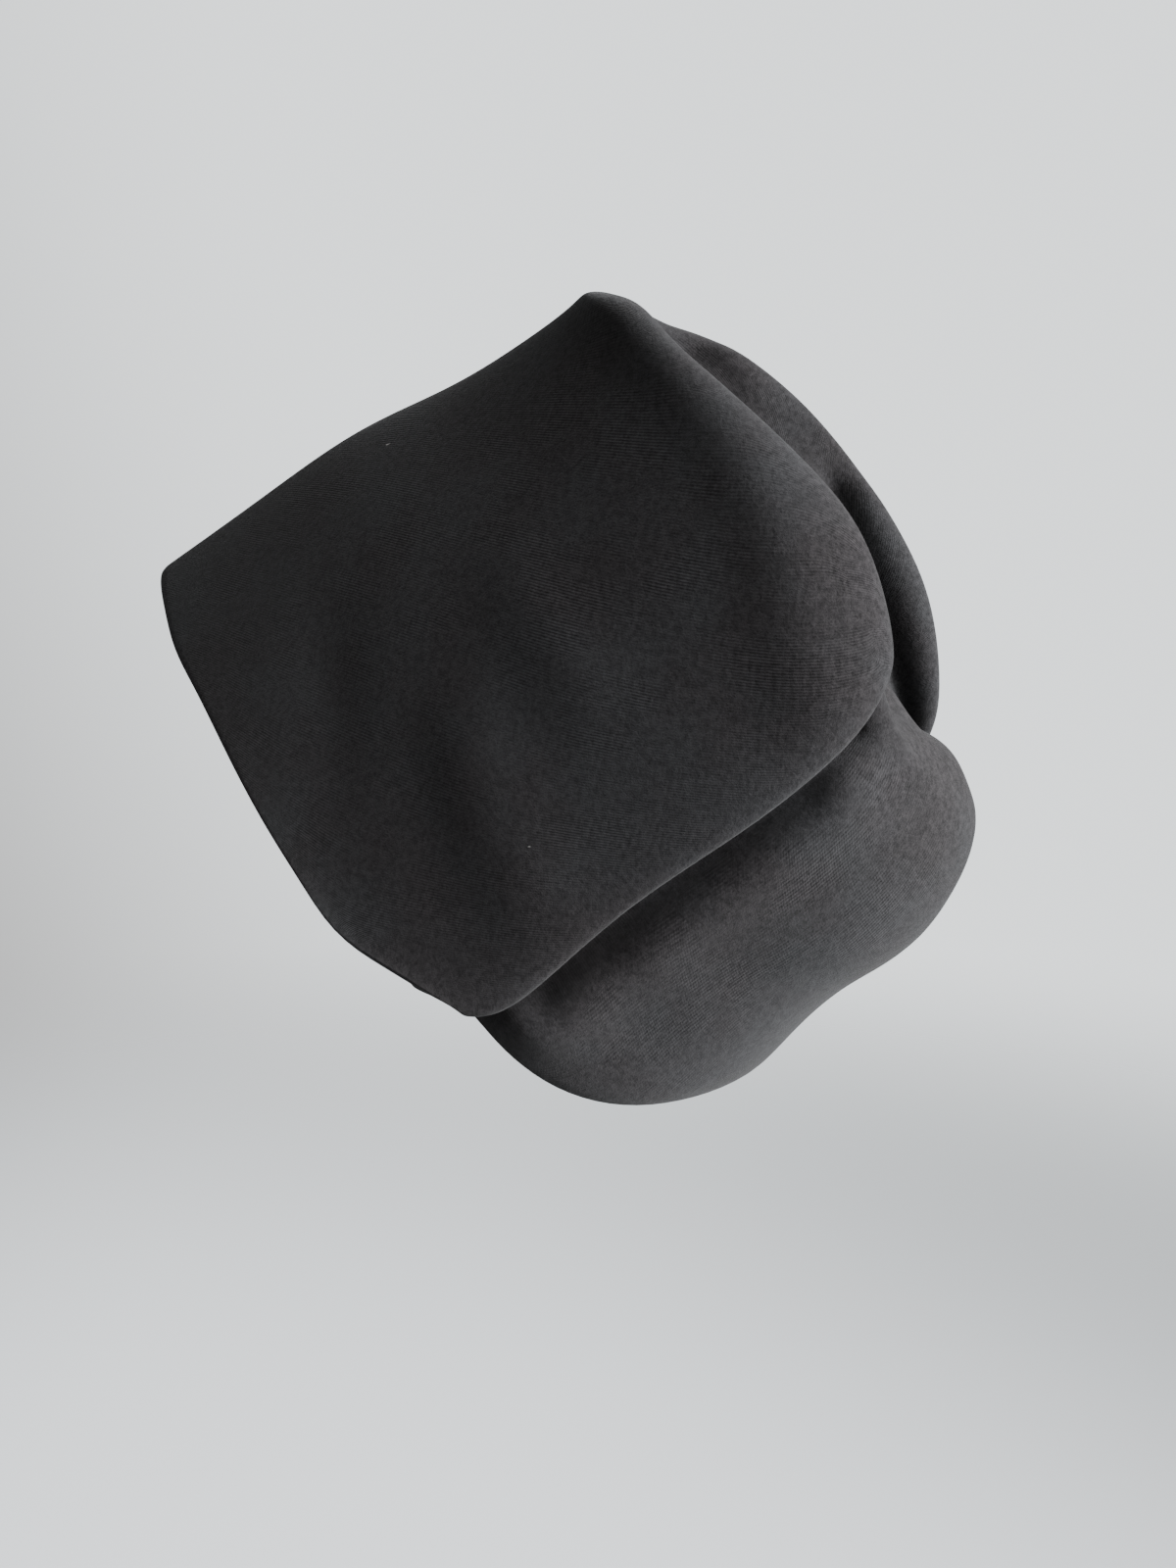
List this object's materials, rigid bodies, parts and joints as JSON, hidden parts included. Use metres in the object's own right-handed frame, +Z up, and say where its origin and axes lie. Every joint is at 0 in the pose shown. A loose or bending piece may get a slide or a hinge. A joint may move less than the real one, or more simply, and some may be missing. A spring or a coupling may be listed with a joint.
{
  "type": "lined cap",
  "caption": "Soft black double-knit cap: a wide slouched bag with a lapped pleat on each side and three lobes at its closed end, open below for a head.",
  "frame": {"origin": "on the inside of the cap's top fold, where it bears on the wearer's crown", "axes": "+Z up as worn; +Y towards the back of the head; +X towards the wearer's left"},
  "size_m": [0.1542, 0.3168, 0.254],
  "materials": {
    "knit": "matte black double knit with fine diagonal ribs and a slight fuzz"
  },
  "bodies": {
    "root": {"cap_shell": "knit"}
  },
  "joints": []
}
